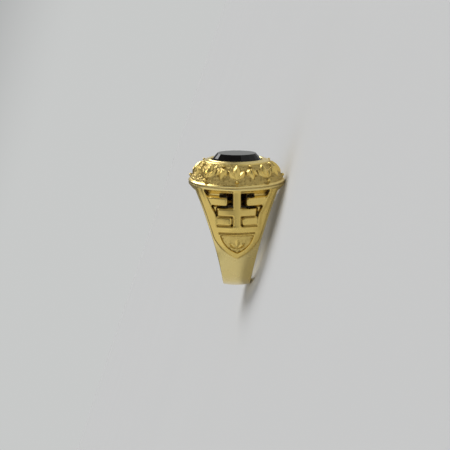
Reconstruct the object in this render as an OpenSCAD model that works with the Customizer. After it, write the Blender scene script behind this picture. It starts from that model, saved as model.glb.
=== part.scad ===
// Cast signet-style ring with an oval, faceted black stone.
// Every module draws the ring upright: X runs along the finger, Z points to the stone.
// The last step lays it on its side, where the head's rim and the shank's edge touch down.
// Plans of the head are ovals of four arcs, and a profile is given by how far it stands
// in or out from the oval of the head's rim. All sizes are in millimetres.

/* [Finger hole and shank] */
// Radius of the finger hole
bore_r = 9.5; // [9.3:0.1:9.7]
// Outer radius of the shank
shank_r = 11.5; // [11.3:0.1:11.8]
// How far the shank's outer circle is centred above the finger hole
shank_lift = 0.2; // [0.1:0.05:0.3]
// Half width of the shank at its lowest point
shank_half = 2.6; // [2.2:0.1:3]
// Radius of the gentle crown across the shank
crown_r = 14; // [13:0.5:18]
// Radius of the long curves by which the shank widens into the shoulders
flare_r = 50; // [46:1:54]
// Height at which those curves come closest together
flare_u = -14; // [-15:0.5:-13]

/* [Shoulders] */
// Half depth of the shoulders where they meet the head
flank_top = 8.2; // [8:0.05:8.3]
// Lean of the shoulders' outer faces from upright, in degrees
flank_lean = 24; // [22:1:26]
// Height at which the shoulders end inside the head
flank_u = 9.7; // [9.6:0.1:10]
// How far the ornamented panel stands proud of the smooth shank
panel_rise = 0.3; // [0.2:0.05:0.4]
// How far the panel's edge stays inside the shoulder's own edge
panel_inset = 0.35; // [0.25:0.05:0.5]
// Height of the panel's pointed tip
panel_tip_u = -3.25; // [-4:0.25:-2.5]
// Radius of the two curves that meet at the tip
panel_tip_r = 9.6; // [9.2:0.2:10.2]
// Depth of the sunk field below the panel's face
field_depth = 0.8; // [0.6:0.1:1]
// Depth of the bars' faces below the panel's face
bar_drop = 0.1; // [0.05:0.05:0.2]

/* [Head] */
// Half length of the head's rim, along the finger
head_half_f = 9.6; // [9.4:0.1:9.8]
// Height of the head's lowest, widest edge
rim_u = 9.6; // [9.6:0.05:9.8]
// Number of motifs round the ornamented band, a multiple of 4
motif_count = 16; // [12:4:20]
// Height of the motifs above the band's ground
motif_rise = 0.45; // [0.3:0.01:0.5]

/* [Stone] */
// Half length of the stone's girdle, along the finger
stone_half_f = 5.2; // [5.1:0.05:5.3]
// Height of the stone's flat table
table_u = 15.5; // [15.3:0.1:15.7]
// Number of facets in each step of the crown, a multiple of 4
stone_facets = 20; // [16:4:24]
// Clear space between the flats of the stone and its seat, wider than its corners stand out
stone_gap = 0.13; // [0.12:0.01:0.16]

/* [Hidden] */
// Facets of a full circle: as a rule, for the long curves and for the smallest ones
$fn = 96;
long_fn = 240;
small_fn = 32;
// A length that reaches past the whole ring
reach = 30;

// Shank: height of its lowest edges, and the centres of the two flare circles
shank_base_u = shank_lift - shank_r + crown_r - sqrt(pow(crown_r, 2) - pow(shank_half, 2));
flare_x = shank_half + sqrt(pow(flare_r, 2) - pow(shank_base_u - flare_u, 2));

// Oval: distances of the arc centres from the middle, a right triangle of sides 3, 4 and 5,
// then the direction in which one arc hands over to the next, and the two radii at the rim
oval_end_off = 1.5;
oval_side_off = 2.0;
oval_turn_at = atan2(oval_side_off, oval_end_off);
oval_end_r = head_half_f - oval_end_off;
oval_side_r = oval_end_r + norm([oval_end_off, oval_side_off]);
// Size of the wedges that keep the arcs apart, as a multiple of the triangle
wedge_scale = 10;

// Shoulder block: hidden inside the shank below, cut by the flank cones above
block_half = flank_top + 2;
block_foot_u = 3;
flank_foot_u = -13;

// Side panel: centre distance of the curves at its tip, and the height above which it keeps
// to the shoulder's own edge
panel_tip_off = 4;
panel_foot_u = 2;
// Rows of the sunk field
FIELD_ROWS = [
    // [height, half width]
    [3.05, 3.90],
    [5.20, 4.10],
    [7.40, 5.45],
    [9.35, 6.35],
];
post_half = 0.76;
post_foot_u = 1.95;
// Bars that reach in from the frame: lower edge, upper edge, distance of the inner end
SIDE_BARS = [
    [6.72, 8.16, 1.85],
    [3.30, 4.65, 1.00],
];
cross_bar = [4.89, 6.18];
cross_bar_half = 3.72;
bar_round = 0.45;
// Half width past which no bar shows
bar_reach = 7;
window_u = [6.35, 8.90];
window_half = 3.30;
band_groove_u = [1.70, 1.95];
band_groove_half = 3.50;
groove_depth = 0.25;

// Small shield under the bars
shield_top_u = 1.40;
shield_tip_u = -2.05;
shield_r = 4.9;
shield_off = 1.6;
shield_depth = 0.45;
// Leaves of the sprig on the shield: height of the foot, turn, length, width
SHIELD_LEAVES = [
    [-1.60, 0, 2.75, 1.25],
    [-1.25, 50, 2.15, 1.00],
    [-1.25, -50, 2.15, 1.00],
];
charge_rise = 0.35;

// Head: rows of the profile from the underside up, offset from the rim oval and height
band_foot = [-0.25, 10.42];
band_head = [-3.20, 14.12];
band_bulge = 0.30;
band_steps = 6;
HEAD_UNDER = [
    [-2.20, 6.00],
    [-0.70, 8.00],
    [0.00, rim_u],
    [0.00, 10.30],
];
HEAD_COLLAR = [
    [-3.72, 14.30],
    [-3.80, 14.24],
    [-3.98, 14.43],
    [-4.32, 14.45],
    [-4.56, 14.23],
];

// Band geometry worked out from its two ends
band_run = band_head - band_foot;
band_length = norm(band_run);
band_slope = atan2(-band_run[0], band_run[1]);
band_r = (pow(band_length / 2, 2) + pow(band_bulge, 2)) / (2 * band_bulge);
band_mid = (band_foot + band_head) / 2 + band_bulge * [cos(band_slope), sin(band_slope)];

// Motifs: leaves of the upright palmette, then of the hanging bud between two palmettes.
// Each row has the place of the foot along and across the band, turn, length and width.
PALMETTE_LEAVES = [
    [-1.25, 0.00, 0, 3.20, 1.60],
    [-1.15, 0.22, 37, 2.55, 1.20],
    [-1.15, -0.22, -37, 2.55, 1.20],
];
BUD_LEAVES = [
    [1.30, 0.00, 180, 2.60, 1.30],
    [1.20, 0.16, 150, 1.95, 0.95],
    [1.20, -0.16, -150, 1.95, 0.95],
];
// Beads clear of the foot of either kind: along the band, and radius
palmette_bead = [-1.68, 0.36];
bud_bead = [1.70, 0.34];
bead_sink = 0.05;
leaf_sink = 0.06;
leaf_root = 0.4;

// Stone: rows of its outline, offset from the rim oval and height, the girdle's upper edge
// where the seat's wall turns over into the lip
stone_off = stone_half_f - head_half_f;
seat_lip_u = 13.70;
STONE_ROWS = [
    [stone_off - 1.00, 12.60],
    [stone_off, 13.35],
    [stone_off, seat_lip_u],
    [stone_off - 0.60, 14.60],
    [stone_off - 1.38, table_u],
];
seat_floor_u = STONE_ROWS[0][1] - stone_gap;
lip_in = 0.27;
lip_lift = 0.405;

// Rest: the tilt at which the rim's end and the shank's edge lie on one level
rest_tilt = atan2(head_half_f - shank_half, rim_u - shank_base_u);
rest_lift = head_half_f * cos(rest_tilt) - rim_u * sin(rest_tilt);
table_half_f = head_half_f + STONE_ROWS[4][0];
rest_far = table_u * cos(rest_tilt) + table_half_f * sin(rest_tilt);
rest_near = shank_base_u * cos(rest_tilt) - shank_half * sin(rest_tilt);
rest_shift = -(rest_far + rest_near) / 2;

// Distance from the middle to the oval's tangent that faces direction a
function oval_support(a, off) = off + (abs(cos(a)) > cos(oval_turn_at)
    ? oval_end_r + oval_end_off * abs(cos(a))
    : oval_side_r - oval_side_off * abs(sin(a)));

// Corner between the tangents at directions a and b
function oval_corner(a, b, off) =
    let (ha = oval_support(a, off), hb = oval_support(b, off))
    [ha * sin(b) - hb * sin(a), hb * cos(a) - ha * cos(b)] / sin(b - a);

// Place on the oval at a distance along it from the middle of the near side:
// x, y and the outward direction, for the first quarter
function oval_quarter(s, off) =
    let (side_run = (oval_side_r + off) * (90 - oval_turn_at) * PI / 180)
    let (on_side = s < side_run)
    let (a = on_side
        ? 90 - s / (oval_side_r + off) * 180 / PI
        : oval_turn_at - (s - side_run) / (oval_end_r + off) * 180 / PI)
    let (r = on_side ? oval_side_r + off : oval_end_r + off)
    let (centre = on_side ? [0, -oval_side_off] : [oval_end_off, 0])
    [centre[0] + r * cos(a), centre[1] + r * sin(a), a];

// Length of a quarter of the oval
function oval_quarter_run(off) =
    ((oval_side_r + off) * (90 - oval_turn_at) + (oval_end_r + off) * oval_turn_at) * PI / 180;

// Rounds to a thousandth, so that neighbouring arcs meet at the same place
function snap(v) = round(v * 1000) / 1000;

// One arc of an oval solid: a full turn of the profile, kept inside a wedge
module oval_arc(centre, r, rows, wedge) {
    foot = rows[0][1];
    head = rows[len(rows) - 1][1];
    intersection() {
        translate([centre[0], centre[1], 0])
            rotate_extrude()
                polygon(concat([[0, foot]], [for (row = rows) [snap(r + row[0]), snap(row[1])]],
                    [[0, head]]));
        linear_extrude(reach)
            polygon(wedge);
    }
}

// Solid turned round the oval from a profile of [offset, height] rows
module oval_solid(rows) {
    far = wedge_scale * [oval_end_off, oval_side_off];
    end = [oval_end_off, 0];
    side = [0, -oval_side_off];
    for (turn = [0, 180])
        rotate([0, 0, turn]) {
            oval_arc(end, oval_end_r, rows, [end, end + [far[0], -far[1]], end + far]);
            oval_arc(side, oval_side_r, rows, [side, side + far, side + [-far[0], far[1]]]);
        }
}

// Region between the two flare curves, drawn as seen from the shoulder
module flare_outline(inset) {
    difference() {
        translate([-head_half_f, flank_foot_u])
            square([2 * head_half_f, flank_u - flank_foot_u]);
        for (side = [-1, 1])
            translate([side * (flare_x - inset), flare_u])
                circle(r = flare_r, $fn = long_fn);
    }
}

// Two equal circles that meet in a point below, closed above
module pointed_outline(tip_u, r, off) {
    intersection_for(side = [-1, 1])
        translate([side * off, tip_u + sqrt(pow(r, 2) - pow(off, 2))])
            circle(r = r);
}

// Prism through both shoulders, from an outline seen from the shoulder
module through_prism() {
    rotate([90, 0, 0])
        linear_extrude(2 * reach, center = true)
            children();
}

// Round bar whose surface is crowned by an arc of radius crown
module barrel(r, crown) {
    rotate_extrude()
        intersection() {
            translate([r - crown, 0])
                circle(r = crown, $fn = long_fn);
            translate([0, -head_half_f])
                square([reach, 2 * head_half_f]);
        }
}

// Everything inside the smooth outer surface, grown outwards by h
module skin(h) {
    top_r = flank_top + oval_side_off + h / cos(flank_lean);
    foot_r = top_r + (flank_u - flank_foot_u) * tan(flank_lean);
    intersection() {
        union() {
            translate([0, 0, shank_lift])
                rotate([0, 90, 0])
                    barrel(shank_r + h, crown_r + h);
            translate([-reach / 2, -block_half - h, block_foot_u])
                cube([reach, 2 * (block_half + h), flank_u - block_foot_u]);
        }
        intersection_for(side = [-1, 1])
            translate([0, side * oval_side_off, flank_foot_u])
                cylinder(r1 = foot_r, r2 = top_r, h = flank_u - flank_foot_u);
    }
}

// Outline of the raised panel
module panel_outline() {
    intersection() {
        flare_outline(panel_inset);
        union() {
            pointed_outline(panel_tip_u, panel_tip_r, panel_tip_off);
            translate([-head_half_f, panel_foot_u])
                square([2 * head_half_f, flank_u - panel_foot_u]);
        }
    }
}

// Outline of the sunk field between the frame's inner edges
module field_outline() {
    polygon(concat(
        [for (row = FIELD_ROWS) [row[1], row[0]]],
        [for (i = [len(FIELD_ROWS) - 1:-1:0]) [-FIELD_ROWS[i][1], FIELD_ROWS[i][0]]]));
}

// Bar from an inner end with rounded corners out past the frame
module side_bar(row) {
    translate([row[2] + bar_round, row[0]])
        square([bar_reach - row[2], row[1] - row[0]]);
    translate([row[2], row[0] + bar_round])
        square([bar_round * 2, row[1] - row[0] - 2 * bar_round]);
    for (u = [row[0] + bar_round, row[1] - bar_round])
        translate([row[2] + bar_round, u])
            circle(r = bar_round, $fn = small_fn);
}

// All bars that stand in the sunk field
module bars_outline() {
    translate([-post_half, post_foot_u])
        square([2 * post_half, flank_u - post_foot_u]);
    translate([-cross_bar_half, cross_bar[0]])
        square([2 * cross_bar_half, cross_bar[1] - cross_bar[0]]);
    for (row = SIDE_BARS) {
        side_bar(row);
        mirror([1, 0])
            side_bar(row);
    }
}

// Openings beside the post that go right through into the finger hole
module window_outline() {
    difference() {
        translate([-window_half, window_u[0]])
            square([2 * window_half, window_u[1] - window_u[0]]);
        bars_outline();
    }
}

// Outline of the small shield
module shield_outline() {
    intersection() {
        pointed_outline(shield_tip_u, shield_r, shield_off);
        translate([-reach, shield_top_u - reach])
            square([2 * reach, reach]);
    }
}

// Leaf with a ridge, foot at the origin, growing along Y: the top of two flat cones set base
// to base, sunk until they show the length, width and rise asked for
module ridged_leaf(length, width, rise) {
    ridge_r = (pow(length / 2, 2) + pow(rise, 2)) / (2 * rise);
    cone_h = ridge_r * width / (2 * rise);
    intersection() {
        translate([0, length / 2, rise - ridge_r])
            rotate([0, 90, 0])
                rotate_extrude()
                    polygon([[0, -cone_h], [ridge_r, 0], [0, cone_h]]);
        translate([-length, -length / 2, -leaf_root])
            cube([2 * length, 2 * length, leaf_root + 2 * rise]);
    }
}

// Motif of leaves that spring from a bead
module leaf_motif(leaves, bead) {
    for (row = leaves)
        translate([row[1], row[0], -leaf_sink])
            rotate([0, 0, -row[2]])
                ridged_leaf(row[3], row[4], motif_rise + leaf_sink);
    translate([0, bead[0], -bead_sink])
        sphere(r = bead[1], $fn = small_fn);
}

// Places a motif on the band: its Y runs up the slope, its Z points outwards
module on_band(k) {
    run = oval_quarter_run(band_mid[0]);
    turn = floor(4 * k / motif_count);
    s = (k - turn * motif_count / 4) * 4 * run / motif_count;
    place = oval_quarter(turn % 2 == 0 ? s : run - s, band_mid[0]);
    rotate([0, 0, turn < 2 ? 0 : 180])
        mirror([turn % 2, 0, 0])
            translate([place[0], place[1], band_mid[1]])
                rotate([0, 0, place[2]])
                    rotate([0, 90 - band_slope, 0])
                        rotate([0, 0, 90])
                            children();
}

// Ornament round the band, palmettes and buds by turns
module band_ornament() {
    for (k = [0:motif_count - 1])
        on_band(k)
            if (k % 2 == 0) leaf_motif(PALMETTE_LEAVES, palmette_bead);
            else leaf_motif(BUD_LEAVES, bud_bead);
}

// Profile of the head, from its underside to the edge that holds the stone
function head_rows() = concat(HEAD_UNDER,
    [for (i = [0:band_steps])
        let (t = i / band_steps, x = (t - 0.5) * band_length)
        let (y = sqrt(pow(band_r, 2) - pow(x, 2)) - band_r + band_bulge)
        band_foot + t * band_run + y * [cos(band_slope), sin(band_slope)]],
    HEAD_COLLAR);

// Hollow that takes the stone, with the turned-over lip above it
module stone_seat() {
    wall = stone_off + stone_gap;
    oval_solid([
        [wall, seat_floor_u],
        [wall, seat_lip_u],
        [wall - lip_in, seat_lip_u + lip_lift],
        [wall - lip_in, table_u],
    ]);
}

// Shank and shoulders, with the raised panels
module hoop() {
    intersection() {
        skin(0);
        through_prism() flare_outline(0);
    }
    intersection() {
        skin(panel_rise);
        through_prism() panel_outline();
    }
}

// What is sunk into the panels
module panel_cuts() {
    difference() {
        through_prism() field_outline();
        skin(panel_rise - bar_drop);
    }
    difference() {
        through_prism() difference() {
            field_outline();
            bars_outline();
        }
        skin(panel_rise - field_depth);
    }
    difference() {
        through_prism() translate([-band_groove_half, band_groove_u[0]])
            square([2 * band_groove_half, band_groove_u[1] - band_groove_u[0]]);
        skin(panel_rise - groove_depth);
    }
    difference() {
        through_prism() shield_outline();
        skin(panel_rise - shield_depth);
    }
}

// Sprigs that stand on the two shields
module charges() {
    face = shank_r + panel_rise - shield_depth;
    for (side = [0, 180])
        rotate([0, 0, side])
            translate([0, -face + leaf_sink, 0])
                rotate([90, 0, 0])
                    for (row = SHIELD_LEAVES)
                        translate([0, row[0], 0])
                            rotate([0, 0, -row[1]])
                                ridged_leaf(row[2], row[3], charge_rise);
}

// The whole casting
module cast_ring() {
    color("#C9A24A")
        difference() {
            union() {
                difference() {
                    hoop();
                    panel_cuts();
                }
                charges();
                oval_solid(head_rows());
                band_ornament();
            }
            rotate([0, 90, 0])
                cylinder(r = bore_r, h = reach, center = true);
            stone_seat();
            through_prism() window_outline();
        }
}

// Faceted stone: flat back, girdle, two steps of facets and the table
module onyx_stone() {
    step = 360 / stone_facets;
    points = [for (row = STONE_ROWS) for (i = [0:stone_facets - 1])
        let (p = oval_corner(i * step, (i + 1) * step, row[0]))
        [p[0], p[1], row[1]]];
    top = stone_facets * (len(STONE_ROWS) - 1);
    sides = [for (j = [0:len(STONE_ROWS) - 2]) for (i = [0:stone_facets - 1])
        let (a = j * stone_facets, b = a + stone_facets, n = (i + 1) % stone_facets)
        [a + i, b + i, b + n, a + n]];
    color("#141216")
        polyhedron(
            points = points,
            faces = concat([[for (i = [0:stone_facets - 1]) i]], sides,
                [[for (i = [stone_facets - 1:-1:0]) top + i]]));
}

// Lays the upright ring on its side, the middle of its footprint at the origin
module at_rest() {
    translate([rest_shift, 0, rest_lift])
        rotate([0, 90 - rest_tilt, 0])
            children();
}

at_rest() cast_ring();
at_rest() onyx_stone();
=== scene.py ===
import math

import bmesh
import bpy
import numpy as np
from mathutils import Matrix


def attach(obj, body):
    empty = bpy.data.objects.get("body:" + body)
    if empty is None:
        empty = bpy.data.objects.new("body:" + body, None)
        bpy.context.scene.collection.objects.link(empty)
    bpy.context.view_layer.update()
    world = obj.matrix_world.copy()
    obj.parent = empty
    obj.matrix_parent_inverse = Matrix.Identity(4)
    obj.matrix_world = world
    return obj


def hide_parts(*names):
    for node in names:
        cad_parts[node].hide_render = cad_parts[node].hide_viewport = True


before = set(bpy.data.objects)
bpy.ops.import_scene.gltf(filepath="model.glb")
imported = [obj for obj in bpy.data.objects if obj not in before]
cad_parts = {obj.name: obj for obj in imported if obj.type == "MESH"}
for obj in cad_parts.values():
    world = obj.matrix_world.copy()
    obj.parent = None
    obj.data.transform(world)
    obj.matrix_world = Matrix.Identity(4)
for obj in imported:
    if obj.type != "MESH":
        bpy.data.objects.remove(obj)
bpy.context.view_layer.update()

import openvdb
from mathutils import Matrix, Vector, noise

# Sizes are in millimetres and the ring is drawn upright: F runs along the finger, Y across
# the shoulders and U towards the stone. They repeat the named values of the solid's source.
MM = 0.001
BORE_R = 9.5
SHANK_R = 11.5
SHANK_LIFT = 0.2
SHANK_HALF = 2.6
CROWN_R = 14.0
FLARE_R = 50.0
FLARE_U = -14.0
BASE_U = SHANK_LIFT - SHANK_R + CROWN_R - math.sqrt(CROWN_R ** 2 - SHANK_HALF ** 2)
FLARE_X = SHANK_HALF + math.sqrt(FLARE_R ** 2 - (BASE_U - FLARE_U) ** 2)

# Rim of the head: an oval of two end circles and two side circles
HEAD_HALF_F = 9.6
RIM_U = 9.6
OVAL_END_OFF = 1.5
OVAL_SIDE_OFF = 2.0
OVAL_END_R = HEAD_HALF_F - OVAL_END_OFF
OVAL_SIDE_R = OVAL_END_R + math.hypot(OVAL_END_OFF, OVAL_SIDE_OFF)
OVAL_TURN_AT = math.atan2(OVAL_SIDE_OFF, OVAL_END_OFF)

# Shoulder block, cut by leaning cones about the centres of the oval's side circles
FLANK_TOP = 8.2
FLANK_LEAN = math.radians(24.0)
FLANK_U = 9.7
FLANK_R = FLANK_TOP + OVAL_SIDE_OFF
BLOCK_HALF = FLANK_R
BLOCK_FOOT_U = 3.0

# Raised panel of a shoulder, with its sunk field
PANEL_RISE = 0.3
PANEL_INSET = 0.35
PANEL_TIP_U = -3.25
PANEL_TIP_R = 9.6
PANEL_TIP_OFF = 4.0
PANEL_FOOT_U = 2.0
FIELD_DEPTH = 0.8
# Height, half width
FIELD_ROWS = [(3.05, 3.90), (5.20, 4.10), (7.40, 5.45), (9.35, 6.35)]

# Post and bars in the field, and the opening beside the post
BAR_DROP = 0.1
POST_HALF = 0.76
POST_FOOT_U = 1.95
POST_HEAD_U = FLANK_U + 1.0
# Lower edge, upper edge, distance of the inner end
SIDE_BARS = [(6.72, 8.16, 1.85), (3.30, 4.65, 1.00)]
BAR_ROUND = 0.45
BAR_REACH = 7.0
CROSS_BAR = (4.89, 6.18)
CROSS_BAR_HALF = 3.72
CROSS_BAR_ROUND = 0.15
WINDOW_U = (6.35, 8.90)
WINDOW_HALF = 3.30

# Groove and shield below the field
BAND_GROOVE_U = (1.70, 1.95)
BAND_GROOVE_HALF = 3.50
GROOVE_DEPTH = 0.25
SHIELD_TOP_U = 1.40
SHIELD_TIP_U = -2.05
SHIELD_R = 4.9
SHIELD_OFF = 1.6
SHIELD_DEPTH = 0.45
# Foot, turn, length, width
SHIELD_LEAVES = [(-1.60, 0, 2.75, 1.25), (-1.25, 50, 2.15, 1.00), (-1.25, -50, 2.15, 1.00)]
CHARGE_RISE = 0.35

# Profile of the head from the underside up: offset from the rim's oval, height
HEAD_UNDER = [(-2.20, 6.00), (-0.70, 8.00), (0.00, RIM_U)]
RIM_GROOVE = [(0.00, 9.76), (-0.17, 9.92), (0.00, 10.08), (0.00, 10.30)]
HEAD_COLLAR = [(-3.72, 14.30), (-3.80, 14.24), (-3.98, 14.43), (-4.32, 14.45), (-4.56, 14.23)]
BAND_FOOT = np.array((-0.25, 10.42))
BAND_HEAD = np.array((-3.20, 14.12))
BAND_BULGE = 0.30
BAND_STEPS = 24
BAND_RUN = BAND_HEAD - BAND_FOOT
BAND_LENGTH = math.hypot(*BAND_RUN)
BAND_ALONG = BAND_RUN / BAND_LENGTH
BAND_OUT = np.array((BAND_ALONG[1], -BAND_ALONG[0]))
BAND_MIDDLE = (BAND_FOOT + BAND_HEAD) / 2 + BAND_BULGE * BAND_OUT
BAND_BEND_R = ((BAND_LENGTH / 2) ** 2 + BAND_BULGE ** 2) / (2 * BAND_BULGE)

# Motifs of the band. Leaves: foot along the band, step aside, turn, length, width
MOTIFS_A_QUARTER = 4
MOTIF_RISE = 0.45
PALMETTE_LEAVES = [(-1.25, 0.00, 0, 3.20, 1.60), (-1.15, 0.22, 37, 2.55, 1.20),
                   (-1.15, -0.22, -37, 2.55, 1.20)]
BUD_LEAVES = [(1.30, 0.00, 180, 2.60, 1.30), (1.20, 0.16, 150, 1.95, 0.95),
              (1.20, -0.16, -150, 1.95, 0.95)]
# Place along the band, radius
PALMETTE_BEAD = (-1.68, 0.36)
BUD_BEAD = (1.70, 0.34)
BEAD_SINK = 0.05
LEAF_SINK = 0.06

# Seat of the stone, and the stone's table
STONE_HALF_F = 5.2
STONE_GAP = 0.13
STONE_OFF = STONE_HALF_F - HEAD_HALF_F
TABLE_STEP = 1.38
TABLE_U = 15.5
TABLE_HALF_F = HEAD_HALF_F + STONE_OFF - TABLE_STEP
SEAT_WALL = STONE_OFF + STONE_GAP
SEAT_FLOOR_U = 12.47
SEAT_LIP_U = 13.70
SEAT_LIP_IN = 0.27
SEAT_LIP_LIFT = 0.405
SEAT_OPEN_U = TABLE_U + 2.0

# Grid of cells that holds a quarter of the casting, and finer tables looked up from it
CELL = 0.065
MARGIN = 4
GRID_F = 10.2
GRID_Y = 12.2
GRID_U = (-11.7, 15.3)
MAP_STEP = 0.02
OFFSETS = (-12.0, 4.0)
MOTIF_MAP_WIDE = 2.6
MOTIF_MAP_LONG = 2.7
TABLE_END = 1.001
FIELD_MOST = 0.4
TINY = 1e-9
NO_RELIEF = -1.0

# Fine detail that only the looks have. Pairs are where a soft edge starts and ends
BAR_WALL = 0.32
BAR_WALL_IN = 0.05
BAR_BEVEL = 0.26
BAR_BEVEL_DROP = 0.8 * BAR_BEVEL
POST_RIDGE = 0.10
STEP_DRAFT = 0.10
STEP_EDGE = (-STEP_DRAFT, STEP_DRAFT)
FIELD_EDGE = (-STEP_DRAFT, 0.22)
PANEL_EDGE = (-0.02, 0.10)
PANEL_WORKED_EDGE = (-0.05, 0.05)
FRAME_FALL = 0.12
FRAME_FALL_EDGE = (0.20, 0.75)
FRAME_FALL_U = (SHIELD_TOP_U + 0.5, SHIELD_TOP_U + 2.0)
VEIN_DEPTH = 0.05
VEIN_OFF = 0.11
VEIN_WIDTH = 0.05
VEIN_LEAST = 0.06
PLINTH = 0.07
PLINTH_EDGE = (-0.05, 0.01)
GROUND_SINK = 0.07
FLARE_ROUND = 0.10
NECK_ROUND = 0.12
BORE_ROUND = 0.18
WINDOW_ROUND = 0.06
SOFTEN_PASSES = 1

# Band's ornament: the heights that hold it, its plain margins and its soft edges
BAND_U = (9.8, 14.9)
BAND_PLAIN_FOOT = 0.05
BAND_PLAIN_HEAD = 0.10
RELIEF_EDGE = (0.0, 0.12)
BAND_GROUND_EDGE = (0.05, 0.20)
BAND_MOTIF_EDGE = (-0.10, 0.03)
BAND_WORKED_EDGE = (-0.30, 0.10)

# Punched ground, of the band and weaker of the shields. Lumps: size, share of the height
STIPPLE_RISE = 0.38
SHIELD_PUNCH = 0.45
SHIELD_GROUND_EDGE = (0.0, 0.1)
SPRIG_EDGE = (SHIELD_DEPTH - PANEL_RISE - 0.12, SHIELD_DEPTH - PANEL_RISE - 0.02)
PUNCH_SKIN = (-0.9, -0.6)
PUNCH_MARKS = (0.05, 1.01)
PUNCH_REACH = 0.3
LUMPS = ((0.40, 0.6), (0.22, 0.4))
LUMP_LEVEL = 0.15

# Near-black painted shade in the hollow behind the openings and inside the finger hole under the
# head, and the reaches of the painted shade in recesses
HOLLOW_MARK = 2.0
HOLLOW_SKIN = (0.62, 1.0)
HOLLOW_WINDOW = 0.2
HOLLOW_BORE = -0.15
BORE_MARK_R = BORE_R + 0.10
BORE_EDGE = (0.0, 0.06)
BORE_PAINTED_SHADE = 0.85
UNDER_HEAD_U = (1.0, 5.0)
UNDER_HEAD_F = (-5.8, -3.0)
PAINTED_SHADE_REACHES = (0.25, 0.5, 0.9)
PAINTED_SHADE_MOST = 1.5

# Mesh of the casting
TRIANGLES_MOST = 145000
LONGEST_EDGE = 1.2
SPLIT_PASSES = 5
NORMAL_REACH = 0.75 * CELL

# Colours of the gold, from the pale shank to the painted shade of its recesses and the
# near-black painted shade of the hollow
GOLD_PALE = (0.90, 0.74, 0.33, 1.0)
GOLD_WARM = (0.84, 0.66, 0.25, 1.0)
GOLD_WORKED = (0.83, 0.62, 0.19, 1.0)
# Painted shade: recesses are darkened towards this colour by how closely the surface is hemmed
# in
GOLD_PAINTED_SHADE = (0.10, 0.055, 0.015, 1.0)
GOLD_PUNCHED = (0.50, 0.38, 0.14, 1.0)
# Painted shade, near black, in the hollow behind the openings and in the finger hole under the
# head
GOLD_PAINTED_HOLLOW_SHADE = (0.010, 0.005, 0.002, 1.0)
PAINTED_SHADE_RANGE = (0.13, 0.60)
PUNCHED_SHARE = 0.8
PUNCHED_ROUGHER = 0.22
GOLD_ROUGHNESS = (0.20, 0.34)
BORE_ROUGHNESS = 0.05
CLOUD_RANGE = (0.3, 0.7)
BUMP_HEIGHT = 0.00002
BUMP_STRENGTH = 0.25
BORE_BUMP_STRENGTH = 0.04

# Noise textures: scale, detail, roughness
CLOUD_NOISE = (260.0, 3.0, 0.5)
FINE_NOISE = (5200.0, 3.0, 0.6)
SCRATCH_NOISE = (1.0, 2.0, 0.6)
ONYX_NOISE = (180.0, 4.0, 0.6)
PAPER_NOISE = (12.0, 2.0, 0.5)
SCRATCH_SCALE = (14000.0, 500.0, 500.0)

ONYX_BLACK = (0.002, 0.0015, 0.0015, 1.0)
ONYX_BROWN = (0.006, 0.004, 0.004, 1.0)
ONYX_ROUGHNESS = (0.02, 0.06)
ONYX_IOR = 1.54
ONYX_SPECULAR = 0.3
PAPER_DARK = (0.73, 0.735, 0.73, 1.0)
PAPER_LIGHT = (0.75, 0.755, 0.75, 1.0)
PAPER_ROUGHNESS = 0.9
FLOOR_HALF = 3.0

# Surroundings: height on the sky at which the colour starts or ends, colour
HORIZON = (0.12, (0.575, 0.585, 0.58, 1.0))
OVERHEAD = (0.32, (0.17, 0.17, 0.175, 1.0))

# Lights: direction that it comes from, power, spread in degrees
KEY_LIGHT = ((0.45, 0.55, 0.70), 1.84, 38.0)
FRONT_LIGHT = ((-0.15, -0.62, 0.77), 0.72, 84.0)

# Camera, placed from the upright ring. Half the picture and the focal length are in its pixels
EYE = Vector((-2.3, -200.0, 49.0))
EYE_PITCH = math.radians(13.56)
HALF_PICTURE = 225
FOCAL_LENGTH = 1020
CLIP_START = 0.005
CLIP_END = 20.0


def rest_placement():
    """Turns upright millimetres into the row frame, where the ring lies on its side."""
    tilt = math.atan2(HEAD_HALF_F - SHANK_HALF, RIM_U - BASE_U)
    lift = HEAD_HALF_F * math.cos(tilt) - RIM_U * math.sin(tilt)
    far = TABLE_U * math.cos(tilt) + TABLE_HALF_F * math.sin(tilt)
    near = BASE_U * math.cos(tilt) - SHANK_HALF * math.sin(tilt)
    turn = Matrix((
        (math.sin(tilt), 0.0, math.cos(tilt), -(far + near) / 2),
        (0.0, 1.0, 0.0, 0.0),
        (-math.cos(tilt), 0.0, math.sin(tilt), lift),
        (0.0, 0.0, 0.0, 1.0),
    ))
    return Matrix.Scale(MM, 4) @ turn


REST = rest_placement()
HOOP_TURN = math.atan2(REST[0][2], REST[0][0])


def smooth_step(x, low, high):
    """Rises softly from 0 at low to 1 at high."""
    t = np.clip((x - low) / (high - low), 0.0, 1.0)
    return t * t * (3.0 - 2.0 * t)


def soft_min(a, b, r):
    """Union whose inner corner is rounded by about r."""
    h = np.clip(0.5 + 0.5 * (b - a) / r, 0.0, 1.0)
    return b + (a - b) * h - r * h * (1.0 - h)


def soft_max(a, b, r):
    """Intersection whose outer corner is rounded by about r."""
    return -soft_min(-a, -b, r)


def polygon_distance(x, y, points):
    """Signed distance to a closed polygon, negative inside."""
    best = np.full(np.broadcast(x, y).shape, np.inf)
    inside = np.zeros(best.shape, bool)
    for (ax, ay), (bx, by) in zip(points, points[1:] + points[:1]):
        ex, ey = bx - ax, by - ay
        t = np.clip(((x - ax) * ex + (y - ay) * ey) / (ex * ex + ey * ey), 0.0, 1.0)
        best = np.minimum(best, np.hypot(x - ax - t * ex, y - ay - t * ey))
        crosses = (y >= ay) != (y >= by)
        if ey != 0.0:
            inside ^= crosses & (x < ax + (y - ay) * ex / ey)
    return np.where(inside, -best, best)


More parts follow.
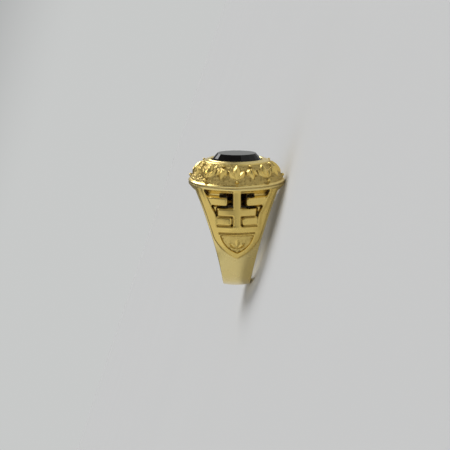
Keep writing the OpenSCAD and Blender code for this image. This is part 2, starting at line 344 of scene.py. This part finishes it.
def box_distance(x, y, low, high, corner=0.0):
    """Signed distance to an upright rectangle with rounded corners."""
    cx, cy = (low[0] + high[0]) / 2, (low[1] + high[1]) / 2
    hx, hy = (high[0] - low[0]) / 2 - corner, (high[1] - low[1]) / 2 - corner
    dx, dy = np.abs(x - cx) - hx, np.abs(y - cy) - hy
    outer = np.hypot(np.maximum(dx, 0.0), np.maximum(dy, 0.0))
    return outer + np.minimum(np.maximum(dx, dy), 0.0) - corner


def pointed_distance(f, u, tip_u, r, off):
    """Signed distance to two equal circles that meet in a point below."""
    return np.hypot(np.abs(f) + off, u - tip_u - math.sqrt(r * r - off * off)) - r


def leaf_height(along, across, row, rise):
    """Height of one ridged leaf over its ground."""
    foot, side, turn, length, width = row
    a = math.radians(turn)
    x, y = across - side, along - foot
    y, x = x * math.sin(a) + y * math.cos(a), x * math.cos(a) - y * math.sin(a)
    ridge_r = ((length / 2) ** 2 + rise ** 2) / (2 * rise)
    cone_h = ridge_r * width / (2 * rise)
    r = np.maximum(ridge_r * (1.0 - np.abs(x) / cone_h), 0.0)
    under = r * r - (y - length / 2) ** 2
    arch = rise - ridge_r + np.sqrt(np.maximum(under, 0.0))
    height = np.where(under > 0.0, arch, NO_RELIEF)
    vein = VEIN_DEPTH * np.exp(-((np.abs(x) - VEIN_OFF) / VEIN_WIDTH) ** 2)
    return height - vein * (height > VEIN_LEAST)


def bead_height(along, across, bead):
    """Height of a bead over its ground."""
    under = bead[1] ** 2 - (along - bead[0]) ** 2 - across ** 2
    return np.where(under > 0.0, np.sqrt(np.maximum(under, 0.0)) - BEAD_SINK, NO_RELIEF)


def motif_map(leaves, bead, across, along):
    """Height of a whole motif, its leaves on a low step with steep edges."""
    height = bead_height(along, across, bead)
    for row in leaves:
        leaf = leaf_height(along, across, row, MOTIF_RISE) - LEAF_SINK
        height = np.maximum(height, leaf + PLINTH * smooth_step(leaf, *PLINTH_EDGE))
    return height


def post_distance(f, u, head_u):
    """Distance to the post in the middle of the panel."""
    return box_distance(f, u, (-POST_HALF, POST_FOOT_U), (POST_HALF, head_u))


def bars_distance(f, u):
    """Distance to the post and the side bars."""
    bars = post_distance(f, u, POST_HEAD_U)
    for low, high, inner in SIDE_BARS:
        bar = box_distance(np.abs(f), u, (inner, low), (BAR_REACH, high), BAR_ROUND)
        bars = np.minimum(bars, bar)
    return bars


def window_distance(f, u):
    """Distance to the openings that are left beside the post, between the bars."""
    window = box_distance(f, u, (-WINDOW_HALF, WINDOW_U[0]), (WINDOW_HALF, WINDOW_U[1]))
    return np.maximum(window, -bars_distance(f, u))


def shield_distance(f, u):
    """Distance to the outline of the shield."""
    point = pointed_distance(f, u, SHIELD_TIP_U, SHIELD_R, SHIELD_OFF)
    return np.maximum(point, u - SHIELD_TOP_U)


def field_height(f, u):
    """Height of the sunk field with its bevelled post and bars."""
    cross = box_distance(f, u, (-CROSS_BAR_HALF, CROSS_BAR[0]), (CROSS_BAR_HALF, CROSS_BAR[1]),
                         CROSS_BAR_ROUND)
    bars = np.minimum(bars_distance(f, u), cross)
    floor = PANEL_RISE - FIELD_DEPTH
    top = PANEL_RISE - BAR_DROP
    wall = floor + (top - floor) * np.clip(1.0 - (bars + BAR_WALL_IN) / BAR_WALL, 0.0, 1.0)
    bevel = BAR_BEVEL_DROP * np.clip(1.0 + bars / BAR_BEVEL, 0.0, 1.0) ** 2
    ridge = POST_RIDGE * np.clip(1.0 - np.abs(f) / POST_HALF, 0.0, 1.0)
    return np.maximum(np.minimum(wall, top - bevel + ridge), floor)


def shield_height(f, u):
    """Height of the shield's sunk ground with its sprig."""
    sprig = np.full(f.shape, NO_RELIEF)
    for foot, turn, length, width in SHIELD_LEAVES:
        row = (foot, 0.0, turn, length, width)
        sprig = np.maximum(sprig, leaf_height(u, f, row, CHARGE_RISE) - LEAF_SINK)
    return PANEL_RISE - SHIELD_DEPTH + np.maximum(sprig, 0.0)


def panel_map(f, u):
    """Height of the panel over the smooth shank, seen from the shoulder."""
    right = [(half, height) for height, half in FIELD_ROWS]
    left = [(-half, height) for height, half in reversed(FIELD_ROWS)]
    field = polygon_distance(f, u, right + left)
    fall = smooth_step(field, *FRAME_FALL_EDGE) * smooth_step(u, *FRAME_FALL_U)
    height = PANEL_RISE - FRAME_FALL * fall
    height = height + (field_height(f, u) - height) * smooth_step(-field, *FIELD_EDGE)

    groove = box_distance(f, u, (-BAND_GROOVE_HALF, BAND_GROOVE_U[0]),
                          (BAND_GROOVE_HALF, BAND_GROOVE_U[1]))
    beside_post = post_distance(f, u, FLANK_U) > 0.0
    height -= GROOVE_DEPTH * smooth_step(-groove, *STEP_EDGE) * beside_post

    sunk = smooth_step(-shield_distance(f, u), *STEP_EDGE)
    return height + (shield_height(f, u) - height) * sunk


def head_rows():
    """Closed profile of the head as offset from the rim's oval and height."""
    band = []
    for i in range(BAND_STEPS + 1):
        t = i / BAND_STEPS
        x = (t - 0.5) * BAND_LENGTH
        sag = math.sqrt(BAND_BEND_R ** 2 - x ** 2) - BAND_BEND_R + BAND_BULGE
        band.append(tuple(BAND_FOOT + t * BAND_RUN + sag * BAND_OUT))
    rows = HEAD_UNDER + RIM_GROOVE + band + HEAD_COLLAR
    return [(OFFSETS[0], rows[0][1])] + rows + [(OFFSETS[0], rows[-1][1])]


def seat_rows():
    """Closed profile of the hollow for the stone, with the turned-over lip."""
    lip = SEAT_WALL - SEAT_LIP_IN
    return [(OFFSETS[0], SEAT_FLOOR_U), (SEAT_WALL, SEAT_FLOOR_U), (SEAT_WALL, SEAT_LIP_U),
            (lip, SEAT_LIP_U + SEAT_LIP_LIFT), (lip, SEAT_OPEN_U), (OFFSETS[0], SEAT_OPEN_U)]


def oval_coordinates(f, y):
    """Offset from the rim's oval, turn round it, its radius there, and whether at an end."""
    at_end = OVAL_END_OFF * y < OVAL_SIDE_OFF * (f - OVAL_END_OFF)
    end = np.hypot(f - OVAL_END_OFF, y) - OVAL_END_R
    side = np.hypot(f, y + OVAL_SIDE_OFF) - OVAL_SIDE_R
    offset = np.where(at_end, end, side)
    side_turn = np.arctan2(f, y + OVAL_SIDE_OFF)
    end_turn = math.pi / 2 - np.arctan2(y, np.maximum(f - OVAL_END_OFF, TINY))
    turn = np.where(at_end, end_turn, side_turn)
    radius = np.where(at_end, OVAL_END_R, OVAL_SIDE_R)
    return offset, turn, radius, at_end


def table_lookup(table, place):
    """Rows of a table at fractional row numbers."""
    place = np.clip(place, 0.0, table.shape[0] - TABLE_END)
    low = place.astype(np.int32)
    part = (place - low)[..., None].astype(np.float32)
    return table[low] * (1.0 - part) + table[low + 1] * part


def map_lookup(table, a, b):
    """Bilinear values of a table at fractional row and column numbers."""
    a = np.clip(a, 0.0, table.shape[0] - TABLE_END)
    b = np.clip(b, 0.0, table.shape[1] - TABLE_END)
    ia, ib = a.astype(np.int32), b.astype(np.int32)
    pa, pb = a - ia, b - ib
    low = table[ia, ib] * (1.0 - pb) + table[ia, ib + 1] * pb
    high = table[ia + 1, ib] * (1.0 - pb) + table[ia + 1, ib + 1] * pb
    return low * (1.0 - pa) + high * pa


def swept_distance(offset, u, rows):
    """Distance to a closed profile that is swept round the rim's oval."""
    offsets = np.arange(*OFFSETS, MAP_STEP)
    table = polygon_distance(offsets[:, None], u[None, :], rows).astype(np.float32)
    return table_lookup(table, (offset - OFFSETS[0]) / MAP_STEP)


def motif_places(offset, turn, radius, at_end):
    """Distances round the band to the nearest palmette and to the nearest bud."""
    side_share = math.pi / 2 - OVAL_TURN_AT
    side_r = OVAL_SIDE_R + BAND_MIDDLE[0]
    end_r = OVAL_END_R + BAND_MIDDLE[0]
    side_run = side_r * side_share
    quarter = side_run + end_r * OVAL_TURN_AT
    run = np.where(at_end, side_run + (turn - side_share) * end_r, turn * side_r)
    spacing = quarter / MOTIFS_A_QUARTER
    fold = np.abs((run + spacing) % (2 * spacing) - spacing)
    widen = (radius + offset) / (radius + BAND_MIDDLE[0])
    return fold * widen, (spacing - fold) * widen


def motif_tables():
    """Heights of a palmette and of a bud over the band's bulge, across by along."""
    across = np.arange(0.0, MOTIF_MAP_WIDE, MAP_STEP)
    along = np.arange(-MOTIF_MAP_LONG, MOTIF_MAP_LONG, MAP_STEP)
    grid = np.meshgrid(across, along, indexing="ij")
    ground = grid[1] ** 2 / (2 * BAND_BEND_R)
    palmette = motif_map(PALMETTE_LEAVES, PALMETTE_BEAD, *grid) + ground
    bud = motif_map(BUD_LEAVES, BUD_BEAD, *grid) + ground
    return palmette, bud


def head_field(f, y, u):
    """Distance to the head with its ornament, its punched ground and its worked zone."""
    offset, turn, radius, at_end = oval_coordinates(f[:, None], y[None, :])
    field = swept_distance(offset, u, head_rows())
    from_palmette, from_bud = motif_places(offset, turn, radius, at_end)
    palmette, bud = motif_tables()

    rows = np.where((u > BAND_U[0]) & (u < BAND_U[1]))[0]
    rise = (u[rows][None, None, :] - BAND_MIDDLE[1]) * BAND_ALONG[1]
    v = (offset[..., None] - BAND_MIDDLE[0]) * BAND_ALONG[0] + rise
    v_place = (v + MOTIF_MAP_LONG) / MAP_STEP
    near = from_palmette[..., None] + 0.0 * v
    far = from_bud[..., None] + 0.0 * v
    relief = np.maximum(map_lookup(palmette, near / MAP_STEP, v_place),
                        map_lookup(bud, far / MAP_STEP, v_place))
    half = BAND_LENGTH / 2
    edge = np.minimum(v + half - BAND_PLAIN_FOOT, half - BAND_PLAIN_HEAD - v)
    field[..., rows] -= np.maximum(relief, -GROUND_SINK) * smooth_step(edge, *RELIEF_EDGE)

    ground = np.zeros(field.shape, np.float32)
    beside_motif = smooth_step(-relief, *BAND_MOTIF_EDGE)
    ground[..., rows] = smooth_step(edge, *BAND_GROUND_EDGE) * beside_motif
    worked = np.zeros(field.shape, np.float32)
    worked[..., rows] = smooth_step(edge, *BAND_WORKED_EDGE)
    return field, ground, worked


def smooth_skin(f, y, u):
    """Distance to the smooth outer surface of shank and shoulders."""
    f3, y3, u3 = f[:, None, None], y[None, :, None], u[None, None, :]
    barrel = np.hypot(np.hypot(y3, u3 - SHANK_LIFT) - SHANK_R + CROWN_R, f3) - CROWN_R
    block = np.maximum(np.maximum(y3 - BLOCK_HALF, BLOCK_FOOT_U - u3), u3 - FLANK_U)
    cone_r = FLANK_R + (FLANK_U - u3) * math.tan(FLANK_LEAN)
    cone = (np.hypot(f3, y3 + OVAL_SIDE_OFF) - cone_r) * math.cos(FLANK_LEAN)
    skin = np.maximum(np.maximum(np.minimum(barrel, block), cone), u3 - FLANK_U)
    return skin.astype(np.float32)


def hoop_field(f, y, u):
    """Distance to shank and shoulders, their punched ground, worked zone and smooth skin."""
    ff, uu = np.meshgrid(f, u, indexing="ij")
    flare_in = FLARE_R - np.hypot(ff - FLARE_X + PANEL_INSET, uu - FLARE_U)
    pointed = pointed_distance(ff, uu, PANEL_TIP_U, PANEL_TIP_R, PANEL_TIP_OFF)
    panel = np.maximum(flare_in, np.minimum(pointed, PANEL_FOOT_U - uu))
    height = panel_map(ff, uu) * smooth_step(-panel, *PANEL_EDGE)
    height = height.astype(np.float32)[:, None, :]
    flare = (FLARE_R - np.hypot(ff - FLARE_X, uu - FLARE_U)).astype(np.float32)[:, None, :]
    in_shield = smooth_step(-shield_distance(ff, uu), *SHIELD_GROUND_EDGE)[:, None, :]
    beside_sprig = smooth_step(-height, *SPRIG_EDGE)

    skin = smooth_skin(f, y, u)
    hoop = soft_max(skin - height, flare, FLARE_ROUND)
    on_panel = smooth_step(-panel, *PANEL_WORKED_EDGE).astype(np.float32)[:, None, :]
    worked = on_panel + 0.0 * skin
    ground = SHIELD_PUNCH * (in_shield * beside_sprig) * smooth_step(skin, *PUNCH_SKIN)
    return hoop, ground.astype(np.float32), worked, skin


def soften(field, passes):
    """Rounds every edge a little, as casting and polishing do."""
    for _ in range(passes):
        for axis in range(3):
            padded = np.pad(field, [(1, 1) if k == axis else (0, 0) for k in range(3)], "edge")
            low = np.take(padded, range(0, padded.shape[axis] - 2), axis)
            high = np.take(padded, range(2, padded.shape[axis]), axis)
            field = 0.25 * low + 0.5 * field + 0.25 * high
    return field


def four_quarters(field):
    """Mirrors a quarter along the finger and across it."""
    half = np.concatenate([field[::-1], field], 0)
    return np.concatenate([half[:, ::-1], half], 1).astype(np.float32)


def lumps(points):
    """Uneven height of a punched ground, from 0 down to -1."""
    value = np.zeros(len(points))
    for size, share in LUMPS:
        value += share * np.array([noise.noise(Vector(p)) for p in points / size])
    return np.clip(value - LUMP_LEVEL, -1.0, 0.0)


def punch(field, ground, f, y, u):
    """Roughens the surface where the ground is marked."""
    marked = (ground > PUNCH_MARKS[0]) & (ground < PUNCH_MARKS[1])
    cells = np.nonzero(marked & (np.abs(field) < PUNCH_REACH))
    places = np.stack([f[cells[0]], y[cells[1]], u[cells[2]]], 1)
    field[cells] -= STIPPLE_RISE * lumps(places) * ground[cells]


def casting_field():
    """Distance field of the casting, its ground and worked marks, and the first cell's place."""
    f = (np.arange(int(GRID_F / CELL) + MARGIN) + 0.5) * CELL
    y = (np.arange(int(GRID_Y / CELL) + MARGIN) + 0.5) * CELL
    u = np.arange(*GRID_U, CELL)
    hoop, hoop_ground, hoop_worked, skin = hoop_field(f, y, u)
    head, head_ground, head_worked = head_field(f, y, u)
    ground = np.where(hoop < head, hoop_ground, head_ground)
    worked = np.where(hoop < head, hoop_worked, head_worked)
    field = soft_min(hoop, head, NECK_ROUND)

    bore = (BORE_R - np.hypot(y[:, None], u)).astype(np.float32)[None]
    window = window_distance(f[:, None], u).astype(np.float32)[:, None, :]
    # Marks the hollow behind the openings for near-black painted shade, carried in the ground
    # values above 1
    near_window = (window < HOLLOW_WINDOW) * (bore < HOLLOW_BORE)
    hollow = smooth_step(-skin, *HOLLOW_SKIN) * near_window
    ground = np.maximum(ground, HOLLOW_MARK * hollow)

    field = soft_max(field, bore, BORE_ROUND)
    field = soft_max(field, -window, WINDOW_ROUND)
    seat_offset = oval_coordinates(f[:, None], y[None, :])[0]
    field = np.maximum(field, -swept_distance(seat_offset, u, seat_rows()))
    punch(field, ground, f, y, u)
    start = np.array((-f[-1], -y[-1], u[0]))
    field = soften(four_quarters(field), SOFTEN_PASSES)
    return field, four_quarters(ground), four_quarters(worked), start


def sample(field, start, points):
    """Trilinear values of a field at points in upright millimetres."""
    place = (points - start) / CELL
    place = np.clip(place, 0.0, np.array(field.shape) - TABLE_END)
    low = place.astype(np.int32)
    part = place - low
    value = np.zeros(len(points))
    for corner in range(8):
        pick = [(corner >> k) & 1 for k in range(3)]
        weight = np.ones(len(points))
        for k in range(3):
            weight = weight * (part[:, k] if pick[k] else 1.0 - part[:, k])
        value += weight * field[low[:, 0] + pick[0], low[:, 1] + pick[1], low[:, 2] + pick[2]]
    return value


def gradient(field, start, points, reach):
    """Unit outward direction of the field at points."""
    steps = np.eye(3) * reach
    out = np.stack([sample(field, start, points + s) - sample(field, start, points - s)
                    for s in steps], 1)
    return out / np.maximum(np.linalg.norm(out, axis=1, keepdims=True), TINY)


def split_long_edges(mesh):
    """Splits long edges, so that marks and shading have points to hold on to everywhere."""
    work = bmesh.new()
    work.from_mesh(mesh)
    for _ in range(SPLIT_PASSES):
        long_ones = [e for e in work.edges if e.calc_length() > LONGEST_EDGE]
        bmesh.ops.subdivide_edges(work, edges=long_ones, cuts=1)
        many_sided = [f for f in work.faces if len(f.verts) > 3]
        bmesh.ops.triangulate(work, faces=many_sided)
    work.to_mesh(mesh)
    work.free()


def mesh_of_field(field, start):
    """Object whose mesh follows the field's surface, with fewer faces where it is smooth."""
    grid = openvdb.FloatGrid()
    grid.copyFromArray(np.clip(field, -FIELD_MOST, FIELD_MOST))
    points, triangles, quads = grid.convertToPolygons(isovalue=0.0, adaptivity=0.0)
    points = points.astype(np.float64) * CELL + start
    dense = bpy.data.meshes.new("casting")
    faces = [tuple(q) for q in quads.tolist()] + [tuple(t) for t in triangles.tolist()]
    dense.from_pydata(points.tolist(), [], faces)
    casting = bpy.data.objects.new("casting", dense)
    bpy.context.scene.collection.objects.link(casting)

    fewer = casting.modifiers.new("fewer", "DECIMATE")
    fewer.ratio = min(1.0, TRIANGLES_MOST / (2 * len(quads) + len(triangles)))
    depsgraph = bpy.context.evaluated_depsgraph_get()
    light = bpy.data.meshes.new_from_object(casting.evaluated_get(depsgraph))
    casting.modifiers.clear()
    casting.data = light
    bpy.data.meshes.remove(dense)
    split_long_edges(light)
    return casting


def surface_marks(field, ground, worked, start, points, normals):
    """Values that the gold reads at each point of the mesh."""
    # Painted shade: the less room there is around the surface along its normal, the darker the
    # gold
    painted_shade = np.zeros(len(points))
    for reach in PAINTED_SHADE_REACHES:
        closeness = 1.0 - sample(field, start, points + normals * reach) / reach
        painted_shade += np.clip(closeness, 0.0, PAINTED_SHADE_MOST) / len(PAINTED_SHADE_REACHES)
    ground_mark = sample(ground, start, points)
    bore = smooth_step(BORE_MARK_R - np.hypot(points[:, 1], points[:, 2]), *BORE_EDGE)
    under_head = smooth_step(points[:, 2], *UNDER_HEAD_U)
    under_head = under_head * smooth_step(-np.abs(points[:, 0]), *UNDER_HEAD_F)
    # Painted shade, near black, in the hollow behind the openings and in the finger hole under
    # the head
    hollow = np.clip(ground_mark - 1.0, 0.0, 1.0)
    return {
        "painted_shade": painted_shade,
        "ground": np.clip(ground_mark, 0.0, 1.0),
        "worked": sample(worked, start, points) * (1.0 - bore),
        "bore": bore,
        "painted_hollow_shade": np.maximum(hollow, BORE_PAINTED_SHADE * bore * under_head),
    }


def build_casting():
    """The whole casting as one mesh, with its marks, placed at rest."""
    field, ground, worked, start = casting_field()
    casting = mesh_of_field(field, start)
    mesh = casting.data

    flat = np.empty(len(mesh.vertices) * 3)
    mesh.vertices.foreach_get("co", flat)
    points = flat.reshape(-1, 3)
    normals = gradient(field, start, points, CELL)
    points = points - sample(field, start, points)[:, None] * normals
    normals = gradient(field, start, points, NORMAL_REACH)

    marks = surface_marks(field, ground, worked, start, points, normals)
    for name, values in marks.items():
        attribute = mesh.attributes.new(name, "FLOAT", "POINT")
        attribute.data.foreach_set("value", values.astype(np.float32))

    turn = np.array(REST)
    placed = points @ turn[:3, :3].T + turn[:3, 3]
    mesh.vertices.foreach_set("co", placed.ravel())
    mesh.polygons.foreach_set("use_smooth", np.ones(len(mesh.polygons), bool))
    turned = normals @ (turn[:3, :3].T / MM)
    mesh.update()
    mesh.normals_split_custom_set_from_vertices(turned.tolist())
    return casting


def new_material(name):
    """A material with its nodes, links and shader."""
    material = bpy.data.materials.new(name)
    material.use_nodes = True
    nodes = material.node_tree.nodes
    return material, nodes, material.node_tree.links, nodes["Principled BSDF"]


def node(nodes, kind, **values):
    """A node with its settings, or the values of its sockets, by name."""
    made = nodes.new(kind)
    for key, value in values.items():
        if hasattr(made, key):
            setattr(made, key, value)
        else:
            made.inputs[key.replace("_", " ")].default_value = value
    return made


def noise_over(nodes, links, vector, texture):
    """Noise along a vector, by a row of scale, detail and roughness."""
    scale, detail, roughness = texture
    made = node(nodes, "ShaderNodeTexNoise", Scale=scale, Detail=detail, Roughness=roughness)
    links.new(vector, made.inputs["Vector"])
    return made.outputs["Fac"]


def mark(nodes, name):
    """One of the values that the casting's points carry."""
    return node(nodes, "ShaderNodeAttribute", attribute_name=name).outputs["Fac"]


def remapped(nodes, links, value, given, wanted):
    """Value whose given range becomes the wanted one."""
    made = node(nodes, "ShaderNodeMapRange", From_Min=given[0], From_Max=given[1],
                To_Min=wanted[0], To_Max=wanted[1])
    links.new(value, made.inputs["Value"])
    return made.outputs["Result"]


def blended(nodes, links, share, a, b, kind="RGBA"):
    """Mixes from a to b, each another node's output or a plain value."""
    made = node(nodes, "ShaderNodeMix", data_type=kind)
    links.new(share, made.inputs["Factor"])
    for name, end in (("A", a), ("B", b)):
        if isinstance(end, bpy.types.NodeSocket):
            links.new(end, made.inputs[name])
        else:
            made.inputs[name].default_value = end
    return made.outputs["Result"]


def gold_colour(nodes, links, shader, cloud):
    """Pale on the shank, deeper where worked, darker on the ground, with painted shade in
    recesses and in the hollow.
    """
    sunk = remapped(nodes, links, mark(nodes, "painted_shade"), PAINTED_SHADE_RANGE, (0.0, 1.0))
    punched = remapped(nodes, links, mark(nodes, "ground"), (0.0, 1.0), (0.0, PUNCHED_SHARE))
    colour = blended(nodes, links, cloud, GOLD_PALE, GOLD_WARM)
    colour = blended(nodes, links, mark(nodes, "worked"), colour, GOLD_WORKED)
    # painted shade in recesses
    colour = blended(nodes, links, sunk, colour, GOLD_PAINTED_SHADE)
    colour = blended(nodes, links, punched, colour, GOLD_PUNCHED)
    # near-black painted shade in the hollow and in the finger hole under the head
    colour = blended(nodes, links, mark(nodes, "painted_hollow_shade"), colour, GOLD_PAINTED_HOLLOW_SHADE)
    links.new(colour, shader.inputs["Base Color"])


def gold_gloss(nodes, links, shader, cloud):
    """Satin outside, rougher on the ground, and polished in the finger hole."""
    satin = remapped(nodes, links, cloud, CLOUD_RANGE, GOLD_ROUGHNESS)
    rough = node(nodes, "ShaderNodeMath", operation="MULTIPLY_ADD", use_clamp=True)
    links.new(mark(nodes, "ground"), rough.inputs[0])
    rough.inputs[1].default_value = PUNCHED_ROUGHER
    links.new(satin, rough.inputs[2])
    gloss = blended(nodes, links, mark(nodes, "bore"), rough.outputs["Value"], BORE_ROUGHNESS,
                    "FLOAT")
    links.new(gloss, shader.inputs["Roughness"])


def gold_bump(nodes, links, shader, place):
    """Fine grain, and scratches that run round the hoop."""
    fine = noise_over(nodes, links, place, FINE_NOISE)
    lines = node(nodes, "ShaderNodeMapping")
    lines.inputs["Rotation"].default_value = (0.0, -HOOP_TURN, 0.0)
    lines.inputs["Scale"].default_value = SCRATCH_SCALE
    links.new(place, lines.inputs["Vector"])
    scratch = noise_over(nodes, links, lines.outputs["Vector"], SCRATCH_NOISE)
    both = node(nodes, "ShaderNodeMath", operation="ADD")
    links.new(fine, both.inputs[0])
    links.new(scratch, both.inputs[1])
    strength = remapped(nodes, links, mark(nodes, "bore"), (0.0, 1.0),
                        (BUMP_STRENGTH, BORE_BUMP_STRENGTH))
    bump = node(nodes, "ShaderNodeBump", Distance=BUMP_HEIGHT)
    links.new(strength, bump.inputs["Strength"])
    links.new(both.outputs["Value"], bump.inputs["Height"])
    links.new(bump.outputs["Normal"], shader.inputs["Normal"])


def gold_material():
    """Yellow metal of the casting."""
    material, nodes, links, shader = new_material("yellow_metal")
    shader.inputs["Metallic"].default_value = 1.0
    place = node(nodes, "ShaderNodeTexCoord").outputs["Object"]
    cloud = noise_over(nodes, links, place, CLOUD_NOISE)
    gold_colour(nodes, links, shader, cloud)
    gold_gloss(nodes, links, shader, cloud)
    gold_bump(nodes, links, shader, place)
    return material


def onyx_material():
    """Polished black stone."""
    material, nodes, links, shader = new_material("black_stone")
    place = node(nodes, "ShaderNodeTexCoord").outputs["Object"]
    bands = noise_over(nodes, links, place, ONYX_NOISE)
    tint = blended(nodes, links, bands, ONYX_BLACK, ONYX_BROWN)
    links.new(tint, shader.inputs["Base Color"])
    rough = remapped(nodes, links, bands, CLOUD_RANGE, ONYX_ROUGHNESS)
    links.new(rough, shader.inputs["Roughness"])
    shader.inputs["IOR"].default_value = ONYX_IOR
    shader.inputs["Specular IOR Level"].default_value = ONYX_SPECULAR
    return material


def paper_material():
    """Matt pale paper of the floor."""
    material, nodes, links, shader = new_material("pale_paper")
    place = node(nodes, "ShaderNodeTexCoord").outputs["Object"]
    grain = noise_over(nodes, links, place, PAPER_NOISE)
    tint = blended(nodes, links, grain, PAPER_DARK, PAPER_LIGHT)
    links.new(tint, shader.inputs["Base Color"])
    shader.inputs["Roughness"].default_value = PAPER_ROUGHNESS
    shader.inputs["Specular IOR Level"].default_value = 0.0
    return material


def build_floor():
    """Wide square of paper that the ring lies on."""
    half = FLOOR_HALF
    corners = [(-half, -half, 0), (half, -half, 0), (half, half, 0), (-half, half, 0)]
    mesh = bpy.data.meshes.new("floor")
    mesh.from_pydata(corners, [], [(0, 1, 2, 3)])
    floor = bpy.data.objects.new("floor", mesh)
    bpy.context.scene.collection.objects.link(floor)
    mesh.materials.append(paper_material())


def build_world():
    """Soft grey surroundings: pale at the horizon, darker overhead."""
    world = bpy.data.worlds.new("studio")
    bpy.context.scene.world = world
    world.use_nodes = True
    nodes, links = world.node_tree.nodes, world.node_tree.links
    place = node(nodes, "ShaderNodeTexCoord")
    split = node(nodes, "ShaderNodeSeparateXYZ")
    links.new(place.outputs["Generated"], split.inputs["Vector"])
    ramp = node(nodes, "ShaderNodeValToRGB")
    links.new(split.outputs["Z"], ramp.inputs["Fac"])
    ramp.color_ramp.interpolation = "EASE"
    for element, (height, colour) in zip(ramp.color_ramp.elements, (HORIZON, OVERHEAD)):
        element.position = height
        element.color = colour
    links.new(ramp.outputs["Color"], nodes["Background"].inputs["Color"])


def build_light(name, toward, power, spread):
    """Soft light from far away, as wide as a large softbox, the same all over the floor."""
    data = bpy.data.lights.new(name, "SUN")
    data.energy = power
    data.angle = math.radians(spread)
    lamp = bpy.data.objects.new(name, data)
    bpy.context.scene.collection.objects.link(lamp)
    lamp.location = toward
    lamp.rotation_euler = (-lamp.location).to_track_quat("-Z", "Y").to_euler()


def build_camera():
    """Looks at the shoulder as the photograph does, turned so that the ring stands upright."""
    data = bpy.data.cameras.new("camera")
    camera = bpy.data.objects.new("camera", data)
    bpy.context.scene.collection.objects.link(camera)
    bpy.context.scene.camera = camera
    data.angle = 2 * math.atan(HALF_PICTURE / FOCAL_LENGTH)
    data.clip_start = CLIP_START
    data.clip_end = CLIP_END
    right = Vector((1.0, 0.0, 0.0))
    forward = Vector((0.0, math.cos(EYE_PITCH), -math.sin(EYE_PITCH)))
    up = right.cross(forward)
    look = Matrix((right, up, -forward)).transposed().to_4x4()
    turn = (REST @ look).to_3x3() * (1 / MM)
    camera.location = REST @ EYE
    camera.rotation_euler = turn.to_euler()


def main():
    """Stage, lights and camera, then the casting's own mesh and the stone's material."""
    build_camera()
    bpy.context.scene.view_settings.view_transform = "Standard"
    build_floor()
    build_world()
    build_light("key", *KEY_LIGHT)
    build_light("front", *FRONT_LIGHT)
    casting = build_casting()
    casting.data.materials.append(gold_material())
    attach(casting, "root")
    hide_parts("cast_ring")
    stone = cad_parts["onyx_stone"]
    stone.data.materials.clear()
    stone.data.materials.append(onyx_material())


main()
